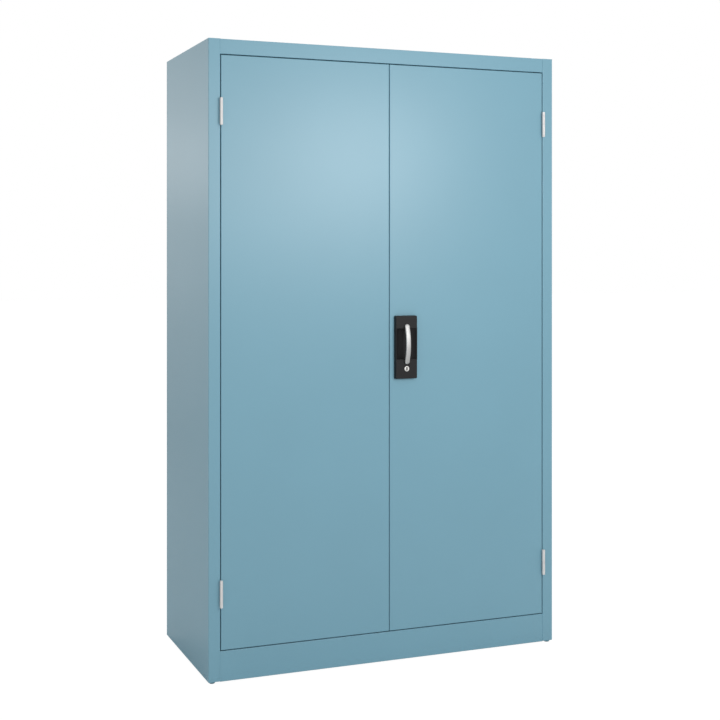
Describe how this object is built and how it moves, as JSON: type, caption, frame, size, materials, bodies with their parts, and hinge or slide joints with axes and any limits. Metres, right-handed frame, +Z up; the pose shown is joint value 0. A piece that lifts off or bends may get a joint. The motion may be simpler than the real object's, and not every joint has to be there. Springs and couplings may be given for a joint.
{
  "type": "tool cabinet with doors",
  "caption": "Tall sheet steel tool cabinet with double doors over adjustable shelves, a turning bow lever that works lock rods, and a cylinder lock.",
  "frame": {"origin": "centre of the base of the bounding box, on the floor under the feet", "axes": "+Z up, the doors face -Y, +X is to the right seen from the front"},
  "size_m": [1.2, 0.5314, 1.955],
  "materials": {
    "body_paint": "satin powder coat in pastel blue with fine orange peel",
    "handle_plastic": "black grained moulding",
    "handle_metal": "satin chromed casting",
    "cylinder_metal": "satin nickel",
    "hinge_steel": "bright zinc plated",
    "zinc_steel": "zinc plated sheet steel",
    "guide_plastic": "black nylon",
    "buffer_rubber": "matt rubber",
    "foot_plastic": "dark blue-grey nylon"
  },
  "bodies": {
    "carcass": {"left_side_panel": "body_paint", "right_side_panel": "body_paint", "back_panel": "body_paint", "roof_panel": "body_paint", "top_rail": "body_paint", "plinth_panel": "body_paint", "floor_panel": "body_paint", "floor_rib": "body_paint", "upright_front_left": "body_paint", "upright_rear_left": "body_paint", "upright_front_right": "body_paint", "upright_rear_right": "body_paint", "shelf_1": "body_paint", "shelf_2": "body_paint", "shelf_3": "body_paint", "shelf_4": "body_paint", "shelf_clips": "zinc_steel", "foot_front_left": "foot_plastic", "foot_front_right": "foot_plastic", "foot_rear_left": "foot_plastic", "foot_rear_right": "foot_plastic", "foot_brackets": "zinc_steel", "foot_nuts": "zinc_steel", "door_buffers": "buffer_rubber", "hinge_frame_left_top": "hinge_steel", "hinge_frame_left_bottom": "hinge_steel", "hinge_frame_right_top": "hinge_steel", "hinge_frame_right_bottom": "hinge_steel", "hinge_pins": "hinge_steel"},
    "left_door": {"left_door_panel": "body_paint", "left_door_rib": "body_paint", "hinge_door_left_top": "hinge_steel", "hinge_door_left_bottom": "hinge_steel", "tongue_keeper": "zinc_steel"},
    "right_door": {"right_door_panel": "body_paint", "right_door_rib": "body_paint", "hinge_door_right_top": "hinge_steel", "hinge_door_right_bottom": "hinge_steel", "handle_housing": "handle_plastic", "lock_case": "zinc_steel", "handle_screws": "zinc_steel", "lock_cylinder": "cylinder_metal", "lock_nut": "zinc_steel", "rod_guides": "guide_plastic"},
    "lever": {"bow_lever": "handle_metal", "lever_spindle": "zinc_steel", "crank_plate": "zinc_steel", "crank_pins": "zinc_steel"},
    "upper_rod": {"top_rod": "zinc_steel"},
    "lower_rod": {"bottom_rod": "zinc_steel"},
    "key_barrel": {"lock_plug": "cylinder_metal", "lock_cam": "zinc_steel", "cam_screw": "zinc_steel"}
  },
  "joints": [
    {"name": "left_door_hinge", "type": "hinge", "parent": "carcass", "child": "left_door", "pos_m": [-0.56175, -0.24225, 1.00325], "axis": [0, 0, -1], "range_deg": [0, 180]},
    {"name": "right_door_hinge", "type": "hinge", "parent": "carcass", "child": "right_door", "pos_m": [0.56175, -0.24225, 1.00325], "axis": [0, 0, 1], "range_deg": [0, 180]},
    {"name": "lever_turn", "type": "hinge", "parent": "right_door", "child": "lever", "pos_m": [0.054, -0.249, 1.0705], "axis": [0, -1, 0], "range_deg": [0, 90]},
    {"name": "upper_rod_slide", "type": "slide", "parent": "right_door", "child": "upper_rod", "axis": [0, 0, 1], "range_m": [0, 0.0213]},
    {"name": "lower_rod_slide", "type": "slide", "parent": "right_door", "child": "lower_rod", "axis": [0, 0, -1], "range_m": [0, 0.0213]},
    {"name": "key_turn", "type": "hinge", "parent": "right_door", "child": "key_barrel", "pos_m": [0.054, -0.249, 0.9355], "axis": [0, 1, 0], "range_deg": [0, 90]}
  ],
  "couplings": [
    {"joint": "upper_rod_slide", "follows": "lever_turn", "m_per_rad": 0.013505},
    {"joint": "lower_rod_slide", "follows": "lever_turn", "m_per_rad": 0.013505}
  ]
}
